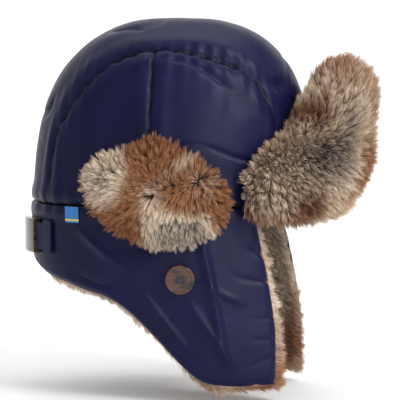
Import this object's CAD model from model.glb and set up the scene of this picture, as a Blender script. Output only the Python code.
import math

import bpy
import numpy as np
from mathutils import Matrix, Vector, kdtree, noise


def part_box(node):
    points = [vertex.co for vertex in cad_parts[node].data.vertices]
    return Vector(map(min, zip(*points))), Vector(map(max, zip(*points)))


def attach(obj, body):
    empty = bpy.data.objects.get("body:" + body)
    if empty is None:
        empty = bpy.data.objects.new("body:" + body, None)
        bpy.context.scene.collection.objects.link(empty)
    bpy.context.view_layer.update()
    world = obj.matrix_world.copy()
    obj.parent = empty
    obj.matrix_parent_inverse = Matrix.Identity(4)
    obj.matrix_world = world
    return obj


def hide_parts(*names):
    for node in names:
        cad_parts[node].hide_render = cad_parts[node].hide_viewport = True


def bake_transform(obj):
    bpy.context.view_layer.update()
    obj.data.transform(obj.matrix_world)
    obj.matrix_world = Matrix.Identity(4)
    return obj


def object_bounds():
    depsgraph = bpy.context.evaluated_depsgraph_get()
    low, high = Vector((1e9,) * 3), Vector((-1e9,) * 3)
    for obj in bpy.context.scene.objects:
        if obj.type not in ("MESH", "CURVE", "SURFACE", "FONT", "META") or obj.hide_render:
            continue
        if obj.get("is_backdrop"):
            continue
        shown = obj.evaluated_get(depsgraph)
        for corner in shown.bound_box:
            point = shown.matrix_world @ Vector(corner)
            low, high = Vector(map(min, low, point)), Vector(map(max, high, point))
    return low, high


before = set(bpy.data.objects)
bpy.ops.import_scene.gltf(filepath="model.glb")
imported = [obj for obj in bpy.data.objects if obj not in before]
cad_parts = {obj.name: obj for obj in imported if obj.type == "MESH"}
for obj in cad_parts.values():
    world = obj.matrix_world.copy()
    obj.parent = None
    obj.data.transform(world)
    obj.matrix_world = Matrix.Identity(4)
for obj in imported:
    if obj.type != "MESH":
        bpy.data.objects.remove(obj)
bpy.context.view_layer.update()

# Trapper hat, in metres. The face looks towards -Y, and the wearer's left is +X.
RANDOM = np.random.default_rng(11)

# Outer face of the crown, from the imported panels
CROWN_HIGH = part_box("crown_top_panel")[1]
CROWN_HEIGHT = CROWN_HIGH[2]
CROWN_LENGTH = CROWN_HIGH[1]
CROWN_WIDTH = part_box("crown_side_rear_left")[1][0]
CROWN_LEAN = math.tan(math.radians(4.5))
CROWN_PROFILE = ((1.0, 0.0), (1.0, 0.15), (1.0, 0.30), (0.975, 0.45), (0.925, 0.60),
                 (0.84, 0.75), (0.67, 0.89), (0.42, 0.975), (0.2, 1.0), (0.0, 1.0))
INSIDE_SHARE = (0.925, 0.935, 0.945)
TOP_SEAM = ((0.036, -0.118), (0.046, -0.080), (0.060, -0.045), (0.063, 0.0), (0.062, 0.045), (0.052, 0.080),
            (0.044, 0.118))
SIDE_SEAM_Y = -0.004

# Outer face of the skirt: depth, half width, half length in front, half length behind
SKIRT = ((0.0, 0.083, 0.102, 0.102), (0.045, 0.0825, 0.124, 0.1015), (0.090, 0.080, 0.145, 0.098),
         (0.140, 0.0765, 0.162, 0.092))

# Lower edge of the cloth from the nape to the front, in depth and height
HEM = ((0.102, -0.042), (0.086, -0.052), (0.050, -0.0605), (0.022, -0.067), (-0.004, -0.090),
       (-0.032, -0.121), (-0.046, -0.1285), (-0.070, -0.130), (-0.0925, -0.1285))
FRONT_TOP_Y = -0.075
FABRIC_THICKNESS = 0.0016
BACKING_THICKNESS = 0.0010

# Long folds of the hanging cloth: start and end in depth and height, height of the fold, half width
DRAPES = ((-0.040, -0.008, -0.062, -0.122, 0.0026, 0.0050), (-0.030, -0.062, -0.066, -0.116, 0.0020, 0.0040),
          (0.004, -0.056, -0.034, -0.104, 0.0018, 0.0042), (-0.036, -0.050, -0.074, -0.070, 0.0016, 0.0038),
          (0.052, -0.014, 0.010, -0.046, 0.0018, 0.0050))

SIDES = {"left": 1, "right": -1}


# ---------------------------------------------------------------- materials

def shader(name, color, roughness):
    """A material with its shader, ready for procedural detail."""
    made = bpy.data.materials.new(name)
    made.use_nodes = True
    core = made.node_tree.nodes["Principled BSDF"]
    core.inputs["Base Color"].default_value = (*color, 1)
    core.inputs["Roughness"].default_value = roughness
    return made, made.node_tree.nodes, made.node_tree.links, core


def object_noise(nodes, links, scale, detail=4.0, stretch=(1, 1, 1)):
    """Noise fixed to the object, and the node that gives it."""
    place = nodes.new("ShaderNodeTexCoord")
    mapping = nodes.new("ShaderNodeMapping")
    mapping.inputs["Scale"].default_value = stretch
    cloud = nodes.new("ShaderNodeTexNoise")
    cloud.inputs["Scale"].default_value = scale
    cloud.inputs["Detail"].default_value = detail
    links.new(place.outputs["Object"], mapping.inputs["Vector"])
    links.new(mapping.outputs["Vector"], cloud.inputs["Vector"])
    return cloud


def ramp(nodes, links, source, stops):
    """Colours along a 0 to 1 value."""
    node = nodes.new("ShaderNodeValToRGB")
    bar = node.color_ramp.elements
    while len(bar) < len(stops):
        bar.new(0.5)
    for element, (position, color) in zip(bar, stops):
        element.position = position
        element.color = (*color, 1)
    links.new(source, node.inputs["Fac"])
    return node.outputs["Color"]


def mixed(nodes, links, factor, first, second, blend="MIX"):
    """Two colours mixed by a factor socket or number."""
    node = nodes.new("ShaderNodeMix")
    node.data_type = "RGBA"
    node.blend_type = blend
    if isinstance(factor, float):
        node.inputs["Factor"].default_value = factor
    else:
        links.new(factor, node.inputs["Factor"])
    for socket, value in (("A", first), ("B", second)):
        target = [s for s in node.inputs if s.name == socket and s.type == "RGBA"][0]
        if isinstance(value, tuple):
            target.default_value = (*value, 1)
        else:
            links.new(value, target)
    return [s for s in node.outputs if s.type == "RGBA"][0]


def bumped(nodes, links, core, height, strength, distance):
    """Fine relief from a height socket."""
    bump = nodes.new("ShaderNodeBump")
    bump.inputs["Strength"].default_value = strength
    bump.inputs["Distance"].default_value = distance
    links.new(height, bump.inputs["Height"])
    links.new(bump.outputs["Normal"], core.inputs["Normal"])


def weave(nodes, links, pitch):
    """Plain weave: two crossed sets of threads, fixed to the object."""
    place = nodes.new("ShaderNodeTexCoord")
    waves = []
    for direction in ("DIAGONAL", "Z"):
        wave = nodes.new("ShaderNodeTexWave")
        wave.bands_direction = direction
        wave.inputs["Scale"].default_value = 1 / pitch / 6.28
        wave.inputs["Distortion"].default_value = 0.6
        links.new(place.outputs["Object"], wave.inputs["Vector"])
        waves.append(wave.outputs["Fac"])
    joined = nodes.new("ShaderNodeMath")
    joined.operation = "MAXIMUM"
    links.new(waves[0], joined.inputs[0])
    links.new(waves[1], joined.inputs[1])
    return joined.outputs["Value"]


def fabric_material(name, dark, light, sheen, pitch, roughness=0.62):
    """Woven cloth with uneven dye, darker along its seams."""
    made, nodes, links, core = shader(name, dark, roughness)
    dye = object_noise(nodes, links, 28.0)
    cloth = ramp(nodes, links, dye.outputs["Fac"], ((0.3, dark), (0.75, light)))
    seam = nodes.new("ShaderNodeAttribute")
    seam.attribute_name = "seam"
    shadow = tuple(value * 0.12 for value in dark)
    links.new(mixed(nodes, links, seam.outputs["Fac"], cloth, shadow), core.inputs["Base Color"])
    core.inputs["Specular IOR Level"].default_value = 0.13
    core.inputs["Sheen Weight"].default_value = sheen
    core.inputs["Sheen Roughness"].default_value = 0.45
    core.inputs["Sheen Tint"].default_value = (0.50, 0.52, 0.95, 1)
    bumped(nodes, links, core, weave(nodes, links, pitch), 0.25, 0.0002)
    return made


def fur_material():
    """Dyed fur: dark roots, rust, tan and cream hair in patches, each hair a little different."""
    made, nodes, links, core = shader("faux_fur", (0.3, 0.16, 0.08), 0.62)
    along = nodes.new("ShaderNodeAttribute")
    along.attribute_name = "along"
    vary = nodes.new("ShaderNodeAttribute")
    vary.attribute_name = "vary"
    patch = nodes.new("ShaderNodeAttribute")
    patch.attribute_name = "patch"
    rust = ramp(nodes, links, along.outputs["Fac"],
                ((0.0, (0.035, 0.014, 0.008)), (0.35, (0.13, 0.046, 0.018)), (0.7, (0.32, 0.12, 0.042)),
                 (1.0, (0.46, 0.22, 0.10))))
    cream = ramp(nodes, links, along.outputs["Fac"],
                 ((0.0, (0.26, 0.17, 0.11)), (0.35, (0.64, 0.48, 0.34)), (0.7, (0.84, 0.69, 0.52)),
                  (1.0, (0.90, 0.80, 0.66))))
    grey = ramp(nodes, links, along.outputs["Fac"],
                ((0.0, (0.014, 0.011, 0.013)), (0.40, (0.060, 0.046, 0.046)), (0.72, (0.36, 0.29, 0.24)),
                 (1.0, (0.74, 0.62, 0.49))))
    warm = mixed(nodes, links, ramp(nodes, links, patch.outputs["Fac"],
                 ((0.30, (0, 0, 0)), (0.58, (1, 1, 1)))), rust, cream)
    cold = ramp(nodes, links, patch.outputs["Fac"], ((0.66, (0, 0, 0)), (0.86, (1, 1, 1))))
    hair = mixed(nodes, links, cold, warm, grey)
    tone = ramp(nodes, links, vary.outputs["Fac"],
                ((0.0, (0.55, 0.50, 0.47)), (0.5, (0.92, 0.91, 0.90)), (1.0, (1.0, 1.0, 1.0))))
    links.new(mixed(nodes, links, 1.0, hair, tone, "MULTIPLY"), core.inputs["Base Color"])
    core.inputs["Sheen Weight"].default_value = 0.15
    core.inputs["Specular IOR Level"].default_value = 0.35
    return made


def horn_material(name, dark, warm, streak):
    """Polished horn: dark brown with amber clouds and pale streaks."""
    made, nodes, links, core = shader(name, dark, 0.16)
    cloud = object_noise(nodes, links, 90.0, 3.0, (1, 1, 2.2))
    bands = ((0.38, dark), (0.55, warm), (0.72, dark), (0.80, streak))
    body = ramp(nodes, links, cloud.outputs["Fac"], bands)
    links.new(body, core.inputs["Base Color"])
    core.inputs["Coat Weight"].default_value = 0.25
    core.inputs["Coat Roughness"].default_value = 0.06
    scratches = object_noise(nodes, links, 900.0, 2.0)
    bumped(nodes, links, core, scratches.outputs["Fac"], 0.06, 0.0002)
    return made


def label_material():
    """Woven blue label with one plain yellow band."""
    made, nodes, links, core = shader("woven_label", (0.03, 0.16, 0.42), 0.7)
    band = nodes.new("ShaderNodeAttribute")
    band.attribute_name = "band"
    links.new(mixed(nodes, links, band.outputs["Fac"], (0.03, 0.17, 0.45), (0.72, 0.55, 0.06)),
              core.inputs["Base Color"])
    bumped(nodes, links, core, weave(nodes, links, 0.0006), 0.5, 0.0002)
    return made


MATERIALS = {
    "navy_shell": fabric_material("navy_shell", (0.0046, 0.0046, 0.029), (0.0072, 0.0072, 0.041),
                                  0.008, 0.0006, 0.38),
    "soft_lining": fabric_material("soft_lining", (0.020, 0.022, 0.055), (0.030, 0.032, 0.075), 0.5, 0.0009),
    "webbing": fabric_material("webbing", (0.010, 0.011, 0.028), (0.018, 0.019, 0.045), 0.2, 0.0012),
    "faux_fur": fur_material(),
    "horn": horn_material("horn", (0.010, 0.004, 0.002), (0.085, 0.027, 0.007), (0.50, 0.29, 0.11)),
    "buckle_plastic": horn_material("buckle_plastic", (0.018, 0.013, 0.005), (0.060, 0.044, 0.014),
                                    (0.30, 0.26, 0.16)),
    "thread": fabric_material("thread", (0.028, 0.024, 0.040), (0.050, 0.044, 0.070), 0.05, 0.0005),
    "woven_label": label_material(),
}


# ---------------------------------------------------------------- surfaces

def crown_points(angle, row):
    """Outer face of the crown at plan angles from the nape, and at rows from the seam to the top."""
    places = row * (len(PROFILE) - 1)
    out = np.interp(places, np.arange(len(PROFILE)), PROFILE[:, 0])
    z = np.interp(places, np.arange(len(PROFILE)), PROFILE[:, 1]) * CROWN_HEIGHT
    x = CROWN_WIDTH * out * np.sin(angle)
    y = CROWN_LENGTH * out * np.cos(angle) - z * CROWN_LEAN
    return np.stack([x, y, z], -1)


def skirt_sizes(z):
    """Half width and the two half lengths of the skirt at heights below the seam."""
    table = np.array(SKIRT)
    depth = np.clip(-z, 0, table[-1, 0])
    return [np.interp(depth, table[:, 0], table[:, column]) for column in (1, 2, 3)]


def skirt_points(angle, z, side, inset=0.0):
    """Outer face of the skirt at plan angles from the nape, on one side of the head."""
    width, front, back = skirt_sizes(z)
    length = np.where(np.cos(angle) < 0, front, back)
    x = side * (width - inset) * np.sin(angle)
    y = (length - inset) * np.cos(angle)
    return np.stack([x, y, z + 0 * x], -1)


def side_surface(y, z, side):
    """Outward distance across the head of the hat's side, at depth y and height z."""
    up = np.clip(z / CROWN_HEIGHT, 0, 0.99)
    out = np.interp(up, PROFILE[:, 1], PROFILE[:, 0])
    centre = -np.maximum(z, 0) * CROWN_LEAN
    width, front, back = skirt_sizes(np.minimum(z, 0))
    length = np.where(y < centre, front, back) * out
    return side * width * out * np.sqrt(np.clip(1 - ((y - centre) / length) ** 2, 0.02, 1))


def normals_of(grid):
    """Unit normals of a grid of points."""
    along = np.gradient(grid, axis=0)
    across = np.gradient(grid, axis=1)
    normal = np.cross(along, across)
    size = np.linalg.norm(normal, axis=-1, keepdims=True)
    return normal / np.maximum(size, 1e-12)


def cloud(points, scale, seed):
    """Smooth noise from -1 to 1 at each point."""
    flat = points.reshape(-1, 3) * scale + seed
    values = np.fromiter((noise.noise(Vector(p)) for p in flat), float, len(flat))
    return values.reshape(points.shape[:-1])


def folds(points, seed):
    """Soft wrinkles of a padded nylon shell, as an outward distance."""
    broad = cloud(points, 15.0, seed) * 0.0040
    warp = cloud(points, 11.0, seed + 5)[..., None] * 0.022
    slanted = (points + warp) * np.array([20.0, 20.0, 44.0])
    ridge = 1 - np.abs(cloud(slanted, 1.0, seed + 9)) * 2.4
    where = np.clip(cloud(points, 24.0, seed + 17) * 2.2 + 0.1, 0, 1)
    crease = np.clip(ridge, 0, 1) ** 3.5 * 0.0024 * where
    fine = cloud(points, 70.0, seed + 13) * 0.0003
    return broad - crease + fine


def drapes(points):
    """Long folds where the ear cloth hangs, as an outward distance."""
    relief = 0
    for y0, z0, y1, z1, depth, width in DRAPES:
        run = np.array([y1 - y0, z1 - z0])
        step = points[..., 1:] - [y0, z0]
        share = np.clip((step * run).sum(-1) / (run ** 2).sum(), 0, 1)
        aside = step[..., 0] * run[1] - step[..., 1] * run[0]
        aside = aside / np.linalg.norm(run) / width
        ends = np.linalg.norm(step - share[..., None] * run, axis=-1) / width
        ridge = depth * np.exp(-ends ** 2) * (1 - 1.5 * aside * np.exp(-aside ** 2))
        relief = relief + ridge * np.sin(share * 3.0 + 0.1)
    return relief


def distance_to(curve, points):
    """Distance in plan from points to a curve, and the number of the nearest step along it."""
    flat = points.reshape(-1, 2)
    apart = np.linalg.norm(flat[:, None] - curve[None], axis=-1)
    nearest = apart.argmin(axis=1)
    shape = points.shape[:-1]
    return apart.min(axis=1).reshape(shape), nearest.reshape(shape)


def smooth_curve(points, count):
    """A rounded curve along a row of points, by repeated corner cutting."""
    curve = np.array(points, float)
    for _ in range(3):
        first = curve[:-1] * 0.75 + curve[1:] * 0.25
        second = curve[:-1] * 0.25 + curve[1:] * 0.75
        middle = np.stack([first, second], 1).reshape(-1, curve.shape[1])
        curve = np.vstack([curve[:1], middle, curve[-1:]])
    steps = np.r_[0, np.cumsum(np.linalg.norm(np.diff(curve, axis=0), axis=1))]
    places = np.linspace(0, steps[-1], count)
    return np.stack([np.interp(places, steps, curve[:, axis]) for axis in range(curve.shape[1])], -1)


PROFILE = smooth_curve(CROWN_PROFILE, 300)


def stitched(distance, along, pitch=0.011):
    """Relief beside a sewn seam: a groove, a puffed shoulder and small puckers."""
    groove = -0.0021 * np.exp(-(distance / 0.0011) ** 2)
    shoulder = 0.0012 * np.exp(-((distance - 0.007) / 0.0055) ** 2)
    pucker = 0.0005 * np.sin(along * 6.28 / pitch) * np.exp(-distance / 0.008)
    return groove + shoulder + pucker


# ---------------------------------------------------------------- meshes

def store(mesh, key, values):
    """A number for each point of a mesh, for its material to read."""
    layer = mesh.attributes.new(key, "FLOAT", "POINT")
    layer.data.foreach_set("value", np.ascontiguousarray(values, np.float32))


def new_mesh(name, points, faces, material, attributes=()):
    """A smooth mesh object from arrays, with its own point attributes."""
    mesh = bpy.data.meshes.new(name)
    mesh.from_pydata(points.tolist(), [], faces)
    for key, values in dict(attributes).items():
        store(mesh, key, values)
    mesh.polygons.foreach_set("use_smooth", np.ones(len(mesh.polygons), bool))
    mesh.materials.append(MATERIALS[material])
    piece = bpy.data.objects.new(name, mesh)
    bpy.context.scene.collection.objects.link(piece)
    return piece


def grid_faces(rows, columns, start=0, wrap=False, flip=False):
    """Faces of a grid of points, row by row."""
    faces = []
    last = columns if wrap else columns - 1
    for row in range(rows - 1):
        for column in range(last):
            a = start + row * columns + column
            b = start + row * columns + (column + 1) % columns
            face = (a, b, b + columns, a + columns)
            faces.append(face[::-1] if flip else face)
    return faces


def sheet_mesh(name, grid, normal, material, thickness, attributes=(), wrap=False, flip=False):
    """A closed sheet of cloth: its outer face, its inner face and its edges."""
    rows, columns = grid.shape[:2]
    inner = grid - normal * thickness
    points = np.vstack([grid.reshape(-1, 3), inner.reshape(-1, 3)])
    size = rows * columns
    faces = grid_faces(rows, columns, 0, wrap, flip) + grid_faces(rows, columns, size, wrap, not flip)
    border = []
    for row in (0, rows - 1):
        span = columns if wrap else columns - 1
        border += [(row * columns + c, row * columns + (c + 1) % columns) for c in range(span)]
    if not wrap:
        for column in (0, columns - 1):
            border += [(r * columns + column, (r + 1) * columns + column) for r in range(rows - 1)]
    faces += [(a, b, b + size, a + size) for a, b in border]
    doubled = {key: np.tile(values.reshape(-1), 2) for key, values in dict(attributes).items()}
    return new_mesh(name, points, faces, material, doubled)


def crown_shell():
    """Outer fabric of the crown, quilted between its seams."""
    angle = np.linspace(0, 2 * math.pi, 360, endpoint=False)
    angles, ups = np.meshgrid(angle, np.linspace(0, 0.9985, 150))
    grid = crown_points(angles, ups)
    normal = normals_of(np.concatenate([grid, grid[:, :1]], 1))[:, :-1]
    normal = np.where((normal * (grid - [0, 0, 0.03])).sum(-1, keepdims=True) < 0, -normal, normal)
    seam_side = smooth_curve(TOP_SEAM, 160)
    mirrored = seam_side * [-1, 1]
    far_left, step_left = distance_to(seam_side, grid[..., :2])
    far_right, step_right = distance_to(mirrored, grid[..., :2])
    plan = np.minimum(far_left, far_right)
    step = np.where(far_left < far_right, step_left, step_right)
    slope = np.clip(np.abs(normal[..., 2]), 0.12, 1)
    top = plan / slope ** 0.35
    edge_x = np.interp(grid[..., 1], seam_side[:, 1], seam_side[:, 0])
    outside = np.abs(grid[..., 0]) > edge_x
    side = np.where(outside, np.abs(grid[..., 1] - SIDE_SEAM_Y), 1.0)
    base = grid[..., 2]
    relief = stitched(top, step * 0.0016) + stitched(side, base) + stitched(base, grid[..., 1])
    relief = relief + folds(grid, 3.0) * np.clip(base / 0.02, 0.3, 1)
    grid = grid + normal * relief[..., None]
    seam = np.exp(-(np.minimum(top, side) / 0.0009) ** 2) + np.exp(-(base / 0.0012) ** 2)
    piece = sheet_mesh("crown_shell", grid, normal, "navy_shell", FABRIC_THICKNESS,
                       {"seam": np.clip(seam, 0, 1)}, wrap=True)
    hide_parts("crown_top_panel", "crown_side_front_left", "crown_side_front_right",
                "crown_side_rear_left", "crown_side_rear_right")
    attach(piece, "crown")


def crown_inside():
    """Quilted lining inside the crown, sewn to the padding in diamonds."""
    angles, ups = np.meshgrid(np.linspace(0, 2 * math.pi, 240, endpoint=False), np.linspace(0.002, 0.999, 90))
    grid = crown_points(angles, ups)
    grid = grid * INSIDE_SHARE
    normal = normals_of(np.concatenate([grid, grid[:, :1]], 1))[:, :-1]
    normal = np.where((normal * (grid - [0, 0, 0.03])).sum(-1, keepdims=True) < 0, -normal, normal)
    turns = angles * 10
    rise = ups * 26
    quilt = np.abs(np.sin((turns + rise) / 2) * np.sin((turns - rise) / 2))
    grid = grid - normal * (0.0016 * quilt ** 0.5)[..., None]
    piece = sheet_mesh("crown_inside", grid, normal, "soft_lining", 0.0008, wrap=True)
    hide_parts(*[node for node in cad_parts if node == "crown_lining" or "padding" in node])
    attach(piece, "crown")


def skirt_grid(side, rows, columns, inset, let_out=0.0):
    """One side of the ear and neck cloth, from the seam down to the hem."""
    hem = smooth_curve(HEM, columns)
    hem = hem - [0, let_out]
    front = np.linspace(0, 1, columns)
    hem[:, 0] -= let_out * np.clip((front - 0.8) / 0.2, 0, 1)
    down = np.linspace(0, 1, rows)[:, None]
    _, before, behind = skirt_sizes(hem[:, 1])
    length = np.where(hem[:, 0] < 0, before, behind)
    low_angle = np.arccos(np.clip(hem[:, 0] / length, -1, 1))
    high_angle = front * math.acos(FRONT_TOP_Y / SKIRT[0][2])
    bow = np.sin(down * math.pi) * 0.012 * front ** 8
    angle = high_angle + (low_angle - high_angle) * down + bow
    z = hem[:, 1] * down
    return skirt_points(angle, z, side, inset)


def skirt_cloth(name, side):
    """Outer fabric of one side: the fixed panel and the ear flap, bending at the fold."""
    grid = skirt_grid(side, 110, 190, 0.0)
    normal = normals_of(grid)
    outward = (normal[..., 0] * grid[..., 0] + normal[..., 1] * grid[..., 1])[..., None]
    normal = np.where(outward < 0, -normal, normal)
    rows, columns = grid.shape[:2]
    down = np.linspace(0, 1, rows)[:, None]
    hem_far = (1 - down) * np.abs(grid[-1, :, 2])[None]
    front_far = (1 - np.linspace(0, 1, columns)[None]) * 0.25
    top_far = down * np.abs(grid[-1, :, 2])[None]
    loose = 1 - 0.85 * np.exp(-(np.hypot(grid[..., 1] + 0.026, grid[..., 2] + 0.0515) / 0.016) ** 4)
    loose = loose * (1 - 0.85 * np.exp(-((grid[..., 1] - 0.11) / 0.058) ** 6))
    relief = folds(grid, 21.0 + side) * np.clip(top_far / 0.02, 0.3, 1) * 0.7 + drapes(grid)
    relief = relief * loose + stitched(top_far, grid[..., 1])
    rolled = -0.0022 * np.exp(-(np.minimum(hem_far, front_far) / 0.0022) ** 2)
    relief = relief + rolled
    centre = np.clip(np.abs(grid[..., 0]) / 0.006, 0, 1)
    grid = grid + normal * (relief * centre)[..., None]
    seam = np.exp(-(top_far / 0.0012) ** 2)
    piece = sheet_mesh(f"ear_cloth_{name}", grid, normal, "navy_shell", FABRIC_THICKNESS, {"seam": seam},
                       flip=side < 0)
    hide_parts(f"ear_panel_{name}", f"ear_flap_fabric_{name}")
    fold_piece(piece)


def fold_piece(piece):
    """Bends a piece over the ear fold, between the crown and the ear flap."""
    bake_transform(piece)


# ---------------------------------------------------------------- fur

HAIR_COUNTS = {"visor": 80000, "wind_flap": 34000, "neck": 42000}


POINTS_PER_HAIR = 7
CORNERS_PER_HAIR = 11
FACES_PER_HAIR = 3


def hairs(name, roots, normal, flow, length, material="faux_fur", width=0.0004, lean=0.8, wild=0.3, seed=1.0,
          patch_scale=26.0, bias=0.0, spread=0.8):
    """Tapered hairs in clumps. Each hair is a narrow curved ribbon that follows the flow of the pile."""
    count = len(roots)
    jitter = RANDOM.normal(size=(count, 3)) * wild
    start = normal + jitter * 0.5
    start /= np.linalg.norm(start, axis=1, keepdims=True)
    tip_way = normal * (1 - lean) + flow * lean + jitter
    tip_way /= np.linalg.norm(tip_way, axis=1, keepdims=True)
    size = length * RANDOM.uniform(0.6, 1.15, count)
    tips = roots + (start * 0.45 + tip_way * 0.62) * size[:, None]
    clump_count = max(count // 34, 4)
    chosen = RANDOM.choice(count, clump_count, replace=False)
    tree = kdtree.KDTree(clump_count)
    for index, root in enumerate(roots[chosen]):
        tree.insert(root, index)
    tree.balance()
    nearest = np.fromiter((tree.find(root)[1] for root in roots), int, count)
    lead = tips[chosen][nearest]
    pull = RANDOM.uniform(0.35, 0.75, count)[:, None]
    tips = tips * (1 - pull) + lead * pull
    middle = roots + start * (size * 0.42)[:, None] * 0.9 + (tips - roots) * 0.12
    third = middle * 0.45 + tips * 0.55 + (start * size[:, None]) * 0.05
    side = np.cross(tips - roots, normal + RANDOM.normal(size=(count, 3)) * 0.45)
    side /= np.maximum(np.linalg.norm(side, axis=1, keepdims=True), 1e-9)
    half = side * width / 2
    points = np.stack([roots - half, roots + half, middle - half, middle + half,
                       third - half * 0.6, third + half * 0.6, tips], 1).reshape(-1, 3)
    base = np.arange(count)[:, None] * POINTS_PER_HAIR
    quads = np.array([[0, 1, 3, 2], [2, 3, 5, 4]])
    loops = np.concatenate([np.concatenate([base + q for q in quads], 1), base + np.array([4, 5, 6])], 1)
    mesh = bpy.data.meshes.new(name)
    mesh.vertices.add(count * POINTS_PER_HAIR)
    mesh.vertices.foreach_set("co", points.ravel().astype(np.float32))
    mesh.loops.add(count * CORNERS_PER_HAIR)
    mesh.loops.foreach_set("vertex_index", loops.ravel().astype(np.int32))
    mesh.polygons.add(count * FACES_PER_HAIR)
    starts = (np.arange(count)[:, None] * CORNERS_PER_HAIR + [0, 4, 8]).ravel()
    mesh.polygons.foreach_set("loop_start", starts.astype(np.int32))
    mesh.update(calc_edges=True)
    mesh.polygons.foreach_set("use_smooth", np.ones(count * FACES_PER_HAIR, bool))
    along = np.tile([0, 0, 0.4, 0.4, 0.75, 0.75, 1.0], count)
    vary = np.repeat(RANDOM.uniform(0, 1, count), POINTS_PER_HAIR)
    warped = roots + cloud(roots, 30.0, seed + 4)[:, None] * 0.012
    patch = 0.5 + cloud(warped, patch_scale, seed) * spread + RANDOM.normal(size=count) * 0.06 + bias
    patch = np.repeat(np.clip(patch, 0, 1), POINTS_PER_HAIR)
    for key, values in (("along", along), ("vary", vary), ("patch", patch)):
        store(mesh, key, values)
    bake_places(mesh, count)
    mesh.materials.append(MATERIALS[material])
    piece = bpy.data.objects.new(name, mesh)
    bpy.context.scene.collection.objects.link(piece)
    return piece


def bake_places(mesh, count):
    """Each hair gets its own small cell of the texture square."""
    cells = math.ceil(math.sqrt(count))
    across = np.array([0.25, 0.75, 0.75, 0.25, 0.25, 0.75, 0.65, 0.35, 0.35, 0.65, 0.5])
    upwards = np.array([0.1, 0.1, 0.4, 0.4, 0.4, 0.4, 0.7, 0.7, 0.7, 0.7, 0.9])
    index = np.arange(count)
    u = (index[:, None] % cells + across) / cells
    v = (index[:, None] // cells + upwards) / cells
    layer = mesh.uv_layers.new(name="OFBake")
    layer.data.foreach_set("uv", np.stack([u, v], -1).ravel().astype(np.float32))


def under_fur(name, points, faces, seed):
    """Dense short pile under the hairs."""
    patch = np.clip(0.5 + cloud(points, 26.0, seed) * 0.85, 0, 1)
    vary = RANDOM.uniform(0.2, 0.7, len(points))
    values = {"along": np.full(len(points), 0.42), "vary": vary, "patch": patch}
    return new_mesh(name, points, faces, "faux_fur", values)


def scattered(grid, normal, count, weight=None):
    """Random places on a grid of points, evenly by area: place, normal, and row and column as fractions."""
    rows, columns = grid.shape[:2]
    cell = np.linalg.norm(np.cross(np.diff(grid, axis=0)[:, :-1], np.diff(grid, axis=1)[:-1]), axis=-1)
    if weight is not None:
        cell = cell * weight[:-1, :-1]
    chance = cell.ravel() / cell.sum()
    chosen = RANDOM.choice(chance.size, count, p=chance)
    row = chosen // (columns - 1)
    column = chosen % (columns - 1)
    a = RANDOM.uniform(0, 1, count)[:, None]
    b = RANDOM.uniform(0, 1, count)[:, None]

    def between(field):
        top = field[row, column] * (1 - b) + field[row, column + 1] * b
        low = field[row + 1, column] * (1 - b) + field[row + 1, column + 1] * b
        return top * (1 - a) + low * a

    place = between(grid)
    facing = between(normal)
    facing /= np.maximum(np.linalg.norm(facing, axis=1, keepdims=True), 1e-9)
    return place, facing, (row + a[:, 0]) / rows, (column + b[:, 0]) / columns


def neck_fur(name, side):
    """Fur lining of one side of the skirt, with a fringe below the hem and in front."""
    grid = skirt_grid(side, 60, 150, 0.0035, 0.0008)
    normal = normals_of(grid)
    outward = (normal[..., 0] * grid[..., 0] + normal[..., 1] * grid[..., 1])[..., None]
    normal = np.where(outward > 0, -normal, normal)
    vary = RANDOM.uniform(0.2, 0.7, grid.shape[:2])
    patch = np.clip(0.5 + cloud(grid, 26.0, 7.0) * 0.85, 0, 1)
    values = {"along": np.full(grid.shape[:2], 0.50), "vary": vary, "patch": patch}
    lining = sheet_mesh(f"neck_under_fur_{name}", grid, -normal, "faux_fur", 0.0032, values, flip=side > 0)
    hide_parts(f"neck_fur_{name}", f"ear_flap_fur_{name}")
    fold_piece(lining)
    rows, columns = grid.shape[:2]
    down = np.linspace(0, 1, rows)[:, None]
    front = np.linspace(0, 1, columns)[None]
    rim = np.exp(-((1 - down) * np.abs(grid[-1, :, 2])[None] / 0.006) ** 2) * 16
    rim = rim + np.exp(-((1 - front) * 0.26 / 0.008) ** 2) * 10
    roots, facing, row, column = scattered(grid, normal, HAIR_COUNTS["neck"], 1 + rim)
    flow = np.stack([0 * row, -0.35 - 2.4 * np.clip((column - 0.80) / 0.12, 0, 1), -0.9 + 0 * row], -1)
    flow = flow + np.stack([0 * row, cloud(roots, 30.0, 41.0), cloud(roots, 30.0, 43.0)], -1) * 0.8
    flow = flow + np.array([0, 0.5, 0]) * np.clip((0.25 - column) / 0.25, 0, 1)[:, None]
    flow /= np.linalg.norm(flow, axis=1, keepdims=True)
    at_hem = np.clip((row - 0.9) / 0.1, 0, 1)
    at_front = np.clip((column - 0.94) / 0.06, 0, 1)
    length = 0.0115 + 0.0085 * np.maximum(at_hem, at_front)
    pile = hairs(f"neck_hair_{name}", roots, facing, flow, length, lean=0.78, wild=0.18, seed=31.0 + side,
                 bias=0.04, spread=0.6)
    fold_piece(pile)


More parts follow.
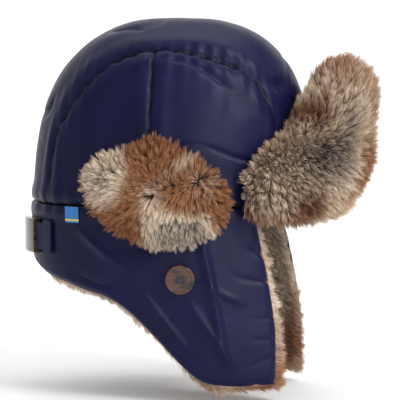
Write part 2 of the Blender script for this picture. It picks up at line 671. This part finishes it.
def visor():
    """Visor: a thick furry band folded up round the forehead, tall in the middle, low at the temples."""
    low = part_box("visor_fur")[0]
    inner_width, inner_length = 0.0866, 0.1095
    temple = math.acos(0.071 / inner_length)
    along = np.linspace(-temple, temple, 150)
    round_section = np.linspace(0, 2 * math.pi, 72, endpoint=False)
    share = np.abs(along) / temple
    top = np.interp(share, (0, 0.16, 0.30, 0.46, 0.62, 0.80, 0.93, 1.0),
                    (0.095, 0.094, 0.086, 0.068, 0.052, 0.040, 0.029, 0.017))
    kernel = np.ones(9) / 9
    top = np.convolve(np.pad(top, 4, mode="edge"), kernel, mode="valid")
    bottom = np.interp(share, (0, 0.35, 0.75, 1.0), (low[2] + 0.008, low[2] + 0.003, low[2], low[2] + 0.006))
    thick = np.interp(share, (0, 0.35, 0.7, 0.92, 1.0), (0.033, 0.031, 0.025, 0.015, 0.003))
    sine = np.sin(round_section)[None]
    cosine = np.cos(round_section)[None]
    out = (0.5 - 0.5 * np.sign(cosine) * np.abs(cosine) ** 0.75) * thick[:, None]
    tall = (top - bottom)[:, None] / 2
    z = (top + bottom)[:, None] / 2 + tall * np.sign(sine) * np.abs(sine) ** 0.8
    belly = np.clip((z - bottom[:, None]) / 0.03, 0, 1) ** 0.5
    out = out * (0.55 + 0.45 * belly) + 0.006 * np.clip((z - 0.05) / 0.05, 0, 1)
    x = np.sin(along)[:, None] * (inner_width + out)
    y = -np.cos(along)[:, None] * (inner_length + out * 1.05)
    grid = np.stack([x, y, z], -1)
    normal = normals_of(np.concatenate([grid, grid[:, :1]], 1))[:, :-1]
    middle = grid.mean(axis=1, keepdims=True)
    normal = np.where((normal * (grid - middle)).sum(-1, keepdims=True) < 0, -normal, normal)
    grid = grid + normal * (cloud(grid, 38.0, 2.0) * 0.004 * np.clip(0.6 - cosine, 0, 1))[..., None]
    rows, columns = grid.shape[:2]
    points = grid.reshape(-1, 3)
    faces = grid_faces(rows, columns, 0, True)
    faces += [tuple(range(columns)), tuple(reversed(range((rows - 1) * columns, rows * columns)))]
    body = under_fur("visor_under_fur", points, faces, 2.0)
    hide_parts("visor_fur", "visor_interlining")
    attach(body, "visor")
    up = np.linspace(0.10, 0.86, 30)[None]
    behind = bottom[:, None] + (top - bottom)[:, None] * up
    inner = np.stack([np.sin(along)[:, None] * (inner_width - 0.0009) + 0 * up,
                      -np.cos(along)[:, None] * (inner_length - 0.0009) + 0 * up, behind], -1)
    outward = inner * [1, 1, 0]
    outward = outward / np.linalg.norm(outward, axis=-1, keepdims=True)
    plain = {"seam": np.zeros(inner.shape[:2])}
    cloth = sheet_mesh("visor_cloth", inner, outward, "navy_shell", BACKING_THICKNESS, plain)
    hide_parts("visor_fabric")
    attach(cloth, "visor")
    closed = np.concatenate([grid, grid[:, :1]], 1)
    closed_normal = np.concatenate([normal, normal[:, :1]], 1)
    roots, facing, row, column = scattered(closed, closed_normal, HAIR_COUNTS["visor"])
    turn = np.abs(row - 0.5) * 2
    away = roots - [0, -0.09, 0.035]
    flow = away * [1.2, 0.7, 1.5]
    flow /= np.linalg.norm(flow, axis=1, keepdims=True)
    flow = flow + np.stack([cloud(roots, 22.0, seed) for seed in (50.0, 60.0, 70.0)], -1) * 0.9
    flow /= np.linalg.norm(flow, axis=1, keepdims=True)
    inside = np.clip((np.cos(column * 2 * math.pi) - 0.62) / 0.3, 0, 1)
    length = (0.0155 - 0.004 * turn) * (1 - 0.97 * inside)
    rim = np.abs(np.sin(column * 2 * math.pi)) ** 3
    bias = 0.04 - 0.10 * rim
    pile = hairs("visor_hair", roots, facing, flow, length, lean=0.72, wild=0.13, seed=2.0,
                 bias=bias, spread=0.5)
    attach(pile, "visor")


# Wind flap, in depth and height: its edge, the middle of its pile and where the pile parts
FLAP_OUTLINE = ((0.044, 0.021), (0.036, 0.031), (0.018, 0.036), (0.002, 0.041), (-0.008, 0.049),
                (-0.018, 0.043), (-0.033, 0.036), (-0.049, 0.026), (-0.057, 0.016), (-0.061, 0.006),
                (-0.059, -0.007), (-0.051, -0.017), (-0.038, -0.022), (-0.024, -0.026), (-0.004, -0.024),
                (0.017, -0.013), (0.031, -0.005), (0.040, 0.008), (0.044, 0.021))
FLAP_CENTRE = np.array([-0.009, 0.010])
FLAP_HAIR_LENGTH = 0.0125
FLAP_WHORLS = ((0.023, 0.018), (-0.034, -0.012), (-0.040, 0.020))


def wind_flap(name, side):
    """Wind flap of one ear: a furry pad folded up over the seam."""
    outline = smooth_curve(FLAP_OUTLINE, 120)[:-1]
    outline = FLAP_CENTRE + (outline - FLAP_CENTRE) * 0.89
    rings = np.sin(np.linspace(0, math.pi / 2, 26))
    plan = FLAP_CENTRE + (outline - FLAP_CENTRE)[None] * rings[:, None, None]
    surface = side_surface(plan[..., 0], plan[..., 1], side)
    crown = 0.0125 * (1 - rings ** 3.2)[:, None] + 0.0035
    crease = np.exp(-((plan[..., 1] + 0.35 * (plan[..., 0] + 0.035) + 0.002) / 0.004) ** 2)
    crease = crease * np.clip((-0.02 - plan[..., 0]) / 0.02, 0, 1) * 0.004
    front = np.stack([surface + side * (crown - crease), plan[..., 0], plan[..., 1]], -1)
    back = np.stack([surface + side * 0.0017, plan[..., 0], plan[..., 1]], -1)
    grid = np.concatenate([front, back[::-1]], 0)
    rows, columns = grid.shape[:2]
    lump = cloud(front, 60.0, 5.0 + side) * 0.0022
    grid[:len(front), :, 0] += side * lump
    points = grid.reshape(-1, 3)
    faces = grid_faces(rows, columns, 0, True, side > 0)
    body = under_fur(f"wind_flap_under_fur_{name}", points, faces, 9.0 + side)
    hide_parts(f"wind_flap_fur_{name}")
    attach(body, f"wind_flap_{name}")
    backing = back - [side * 0.0002, 0, 0]
    outward = np.broadcast_to([float(side), 0, 0], backing.shape)
    plain = {"seam": np.zeros(backing.shape[:2])}
    cloth = sheet_mesh(f"wind_flap_cloth_{name}", backing, outward, "navy_shell", BACKING_THICKNESS, plain,
                       wrap=True)
    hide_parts(f"wind_flap_fabric_{name}")
    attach(cloth, f"wind_flap_{name}")
    closed = np.concatenate([front, front[:, :1]], 1)
    normal = normals_of(closed)
    normal = np.where(normal[..., :1] * side < 0, -normal, normal)
    roots, facing, row, _ = scattered(closed, normal, HAIR_COUNTS["wind_flap"])
    away = (roots[:, 1:] - FLAP_CENTRE) * [1.0, 1.5]
    away = away / np.maximum(np.linalg.norm(away, axis=1, keepdims=True), 1e-9) * (0.5 + row[:, None] ** 2)
    whorl = 0
    for centre in FLAP_WHORLS:
        step = roots[:, 1:] - centre
        far = np.linalg.norm(step, axis=1, keepdims=True)
        near = np.exp(-(far / 0.020) ** 2)
        away = away + step / np.maximum(far, 1e-9) * near * 0.5
        whorl = whorl + np.exp(-(far[:, 0] / 0.014) ** 2)
    away = away + np.array([0.35, -0.55]) * np.exp(-(row[:, None] / 0.3) ** 2)
    flow = np.concatenate([np.full((len(roots), 1), side * 0.15), away], 1)
    for axis in (1, 2):
        flow[:, axis] += cloud(roots, 34.0, 80.0 + axis) * 0.9
    flow /= np.maximum(np.linalg.norm(flow, axis=1, keepdims=True), 1e-9)
    bias = -0.32 - 0.10 * row ** 4 + 0.60 * whorl
    pile = hairs(f"wind_flap_hair_{name}", roots, facing, flow, FLAP_HAIR_LENGTH, lean=0.80, wild=0.12,
                 seed=12.0 + side, patch_scale=32.0, bias=bias)
    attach(pile, f"wind_flap_{name}")


# ---------------------------------------------------------------- trim

def adjuster():
    """Ribbed webbing across the nape."""
    low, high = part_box("adjuster_strap")
    centre_y, inner, thick = 0.0314, 0.0724, 0.0012
    half_angle, steps = 0.803, 420
    angles, rise = np.meshgrid(np.linspace(-half_angle, half_angle, steps), np.linspace(0, 1, 26))
    ribs = 0.00022 * np.abs(np.sin(np.arange(steps) * 0.9))[None]
    edge = 0.0004 * np.abs(rise * 2 - 1) ** 12
    reach = inner + thick + ribs - edge
    z = low[2] + (high[2] - low[2]) * rise
    grid = np.stack([-reach * np.sin(angles), centre_y + reach * np.cos(angles), z], -1)
    outward = np.stack([-np.sin(angles), np.cos(angles), 0 * angles], -1)
    strap = sheet_mesh("adjuster_webbing", grid, outward, "webbing", thick)
    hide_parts("adjuster_strap")
    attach(strap, "crown")


def label():
    """Small woven label hanging from the seam behind the right ear."""
    low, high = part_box("side_label")
    rows, columns = 26, 24
    across, down = np.meshgrid(np.linspace(0, 1, columns), np.linspace(0, 1, rows))
    near = np.array([low[0], low[1], 0]) + [0.0004, 0, 0]
    far = np.array([high[0], high[1], 0]) - [0.0004, 0, 0]
    grid = near + (far - near) * across[..., None]
    grid[..., 2] = high[2] - (high[2] - low[2]) * down
    outward = np.cross(far - near, [0, 0, 1])
    outward /= np.linalg.norm(outward)
    outward = outward if outward[0] < 0 else -outward
    curl = 0.0009 * down ** 2 * np.sin(across * 3.1) - 0.0006 * down
    grid = grid + outward * (curl + 0.0016)[..., None]
    band = np.exp(-((down - 0.84) / 0.05) ** 8)
    piece = sheet_mesh("woven_tag", grid, np.broadcast_to(outward, grid.shape), "woven_label", 0.0007,
                       {"band": band})
    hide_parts("side_label")
    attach(piece, "crown")


HARD_TRIM = (("ear_button", "horn"), ("button_thread", "thread"), ("adjuster_buckle", "buckle_plastic"),
             ("strap_tab", "webbing"))


def hard_trim():
    """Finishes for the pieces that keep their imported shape."""
    for node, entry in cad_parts.items():
        for start, material in HARD_TRIM:
            if node.startswith(start):
                entry.data.materials.clear()
                entry.data.materials.append(MATERIALS[material])


# ---------------------------------------------------------------- studio

# Side view from the wearer's right, a little in front: what lies right of the middle and above the seam
VIEW_AZIMUTH = -79
VIEW_ELEVATION = 4
VIEW_TARGET = (0.0244, -0.0005)
VIEW_DISTANCE = 1.7
VIEW_WIDTH = 0.300


def studio():
    """Pale floor that curves up into a backdrop, soft lights and the camera."""
    floor_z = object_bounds()[0][2] - 0.001
    bend = 1.2
    profile = [(-3.0, 0.0)]
    profile += [(bend + bend * math.sin(a), bend - bend * math.cos(a)) for a in np.linspace(0, 1.57, 24)]
    profile.append((2.4, 4.0))
    facing = math.radians(VIEW_AZIMUTH)
    back = Vector((-math.sin(facing), math.cos(facing), 0))
    right = Vector((math.cos(facing), math.sin(facing), 0))
    points = []
    for away, rise in profile:
        for across in (-5, 5):
            points.append(back * away + right * across + Vector((0, 0, floor_z + rise)))
    faces = grid_faces(len(profile), 2)
    mesh = bpy.data.meshes.new("floor")
    mesh.from_pydata(points, [], faces)
    mesh.polygons.foreach_set("use_smooth", [True] * len(mesh.polygons))
    mesh.materials.append(shader("floor", (0.93, 0.93, 0.93), 0.9)[0])
    floor = bpy.data.objects.new("floor", mesh)
    bpy.context.scene.collection.objects.link(floor)
    floor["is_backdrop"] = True

    world = bpy.context.scene.world or bpy.data.worlds.new("studio")
    bpy.context.scene.world = world
    world.use_nodes = True
    world.node_tree.nodes["Background"].inputs["Color"].default_value = (1, 1, 1, 1)
    world.node_tree.nodes["Background"].inputs["Strength"].default_value = 0.5
    toward = -back
    lights = (
        ("key", toward * 1.2 + right * 1.2 + Vector((0, 0, 1.3)), Vector((0, 0, 0)), 0.8, 30.0),
        ("fill", toward * 2.0 + right * 0.8 + Vector((0, 0, 0.15)), Vector((0, 0, 0)), 1.0, 17.0),
        ("top", right * 0.3 + Vector((0, 0, 2.1)), Vector((0, 0, 0)), 1.2, 6.0),
        ("backdrop", back * 0.7 + Vector((0, 0, 1.6)), back * 1.9 + Vector((0, 0, 0.3)), 2.0, 22.0),
    )
    for name, place, aim, size, power in lights:
        lamp = bpy.data.lights.new(name, "AREA")
        lamp.size = size
        lamp.energy = power
        holder = bpy.data.objects.new(name, lamp)
        holder.location = place
        holder.rotation_euler = (aim - place).to_track_quat("-Z", "Y").to_euler()
        bpy.context.scene.collection.objects.link(holder)

    elevation = math.radians(VIEW_ELEVATION)
    target = right * VIEW_TARGET[0] + Vector((0, 0, VIEW_TARGET[1]))
    way = toward * math.cos(elevation) + Vector((0, 0, math.sin(elevation)))
    lens = bpy.data.cameras.new("camera")
    lens.angle = 2 * math.atan(VIEW_WIDTH / 2 / VIEW_DISTANCE)
    camera = bpy.data.objects.new("camera", lens)
    camera.location = target + way * VIEW_DISTANCE
    camera.rotation_euler = (-way).to_track_quat("-Z", "Y").to_euler()
    bpy.context.scene.collection.objects.link(camera)
    bpy.context.scene.camera = camera
    bpy.context.scene.view_settings.view_transform = "Standard"


def main():
    crown_shell()
    crown_inside()
    for name, side in SIDES.items():
        skirt_cloth(name, side)
        neck_fur(name, side)
        wind_flap(name, side)
    visor()
    adjuster()
    label()
    hard_trim()
    studio()


main()
